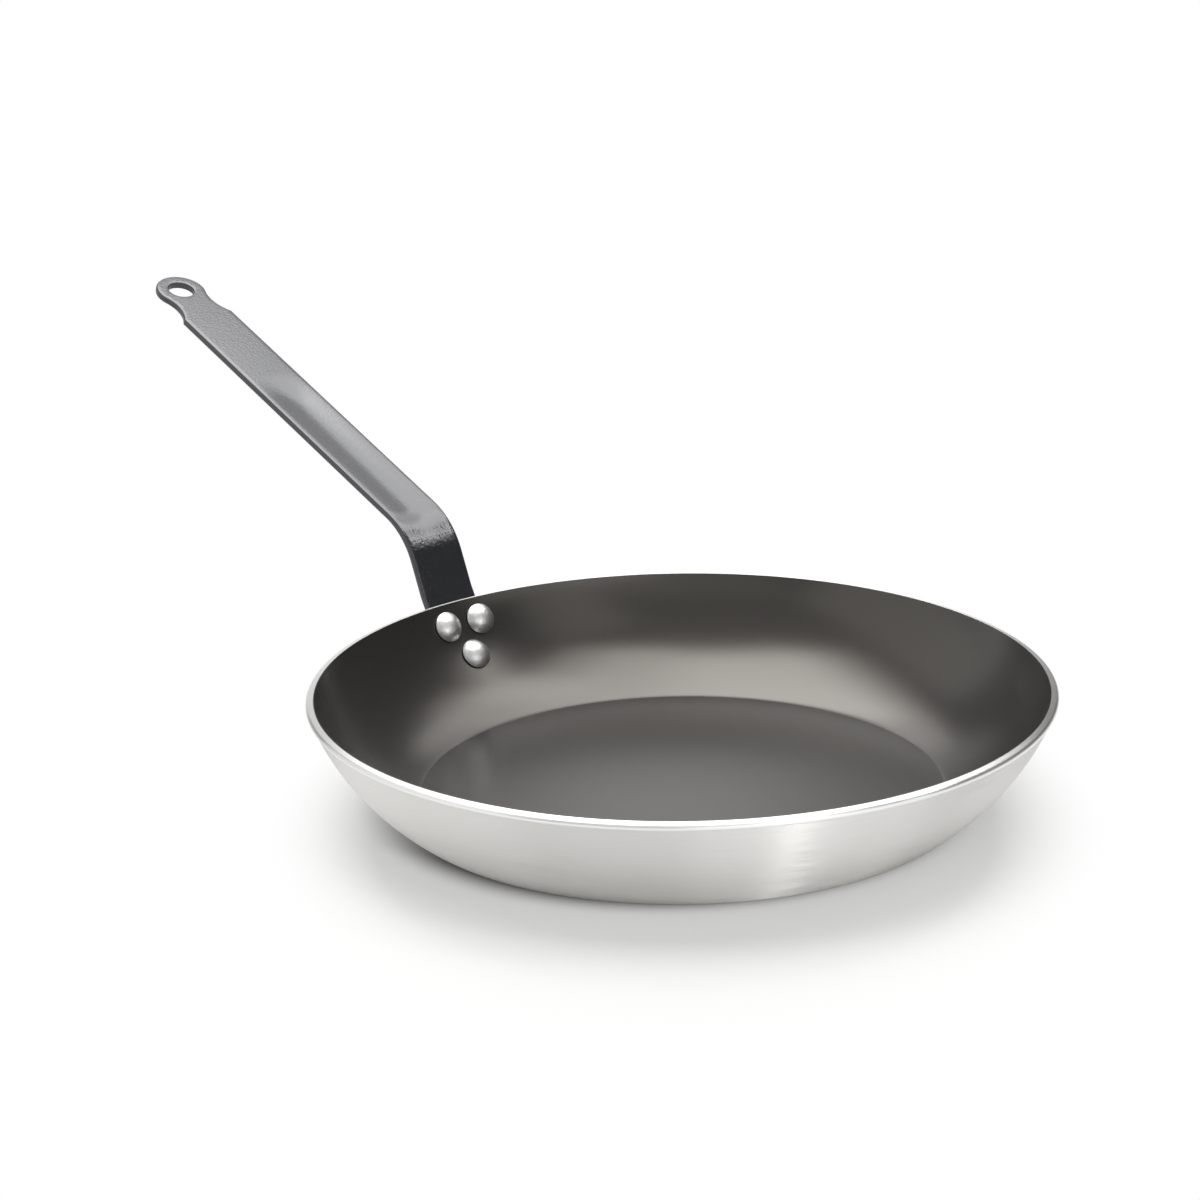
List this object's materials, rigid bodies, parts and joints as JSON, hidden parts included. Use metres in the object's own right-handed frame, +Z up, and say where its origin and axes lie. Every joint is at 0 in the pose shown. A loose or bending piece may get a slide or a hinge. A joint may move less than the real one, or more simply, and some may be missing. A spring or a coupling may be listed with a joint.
{
  "type": "frying pan",
  "caption": "Shallow round pressed aluminium frying pan with a flared wall, dark non-stick lining and a riveted bent steel strip handle ending in a hanging eye.",
  "frame": {"origin": "middle of the flat underside, on the pan's axis", "axes": "+Z up, +X from the pan towards the end of the handle"},
  "size_m": [0.4782, 0.28, 0.143],
  "materials": {
    "pressed_aluminium": "turned and brushed, bright at the lip",
    "nonstick_lining": "sprayed and baked, satin dark grey",
    "coated_steel": "baked epoxy coat with a fine texture",
    "rivet_aluminium": "tumbled satin"
  },
  "bodies": {
    "root": {"pan_body": "pressed_aluminium", "nonstick_coating": "nonstick_lining", "handle": "coated_steel", "rivet_left": "rivet_aluminium", "rivet_right": "rivet_aluminium", "rivet_lower": "rivet_aluminium"}
  },
  "joints": []
}
